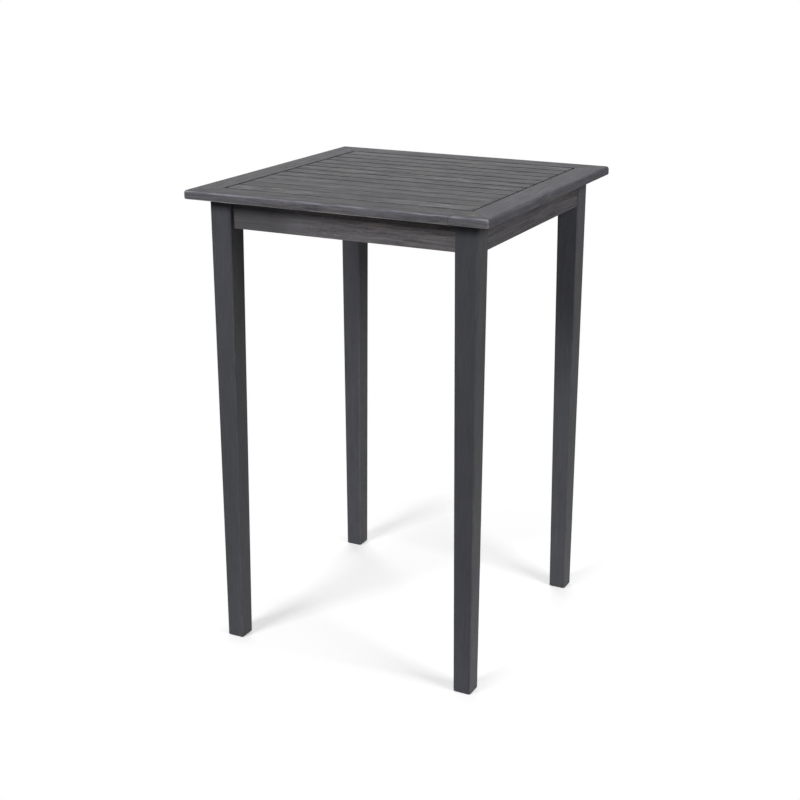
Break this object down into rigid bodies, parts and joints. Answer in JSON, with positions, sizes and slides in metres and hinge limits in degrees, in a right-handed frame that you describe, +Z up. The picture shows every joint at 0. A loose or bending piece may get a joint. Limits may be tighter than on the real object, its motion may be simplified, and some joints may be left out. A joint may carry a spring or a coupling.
{
  "type": "outdoor bar table",
  "caption": "Square bar-height outdoor table in grey stained wood: mitred frame with slatted field, plain aprons, tapered square legs bolted to corner blocks.",
  "frame": {"origin": "on the floor, under the middle of the top", "axes": "+X to the right along the slats, +Y to the back across the slats, +Z up"},
  "size_m": [0.7, 0.7, 1.05],
  "materials": {
    "top_wood": "weathered grey stain, low sheen, worn lighter along edges and grain",
    "leg_wood": "dark grey stain, low sheen, faint upright grain",
    "bearer_wood": "dark grey stain, sawn faces under the top",
    "dowel_wood": "bare hardwood, sealed in the mitres",
    "plated_steel": "zinc plated, satin"
  },
  "bodies": {
    "root": {"top_rail_front": "top_wood", "top_rail_back": "top_wood", "top_rail_left": "top_wood", "top_rail_right": "top_wood", "top_slat_01": "top_wood", "top_slat_02": "top_wood", "top_slat_03": "top_wood", "top_slat_04": "top_wood", "top_slat_05": "top_wood", "top_slat_06": "top_wood", "top_slat_07": "top_wood", "top_slat_08": "top_wood", "top_slat_09": "top_wood", "top_slat_10": "top_wood", "top_slat_11": "top_wood", "top_slat_12": "top_wood", "apron_front": "leg_wood", "apron_back": "leg_wood", "apron_left": "leg_wood", "apron_right": "leg_wood", "leg_front_left": "leg_wood", "leg_front_right": "leg_wood", "leg_back_left": "leg_wood", "leg_back_right": "leg_wood", "slat_ledger_left": "bearer_wood", "slat_ledger_right": "bearer_wood", "slat_batten": "bearer_wood", "corner_block_front_left": "bearer_wood", "corner_block_front_right": "bearer_wood", "corner_block_back_left": "bearer_wood", "corner_block_back_right": "bearer_wood", "mitre_dowels": "dowel_wood", "slat_screws": "plated_steel", "apron_screws": "plated_steel", "ledger_screws": "plated_steel", "corner_block_screws": "plated_steel", "leg_bolts": "plated_steel", "leg_washers": "plated_steel", "leg_nuts": "plated_steel"}
  },
  "joints": []
}
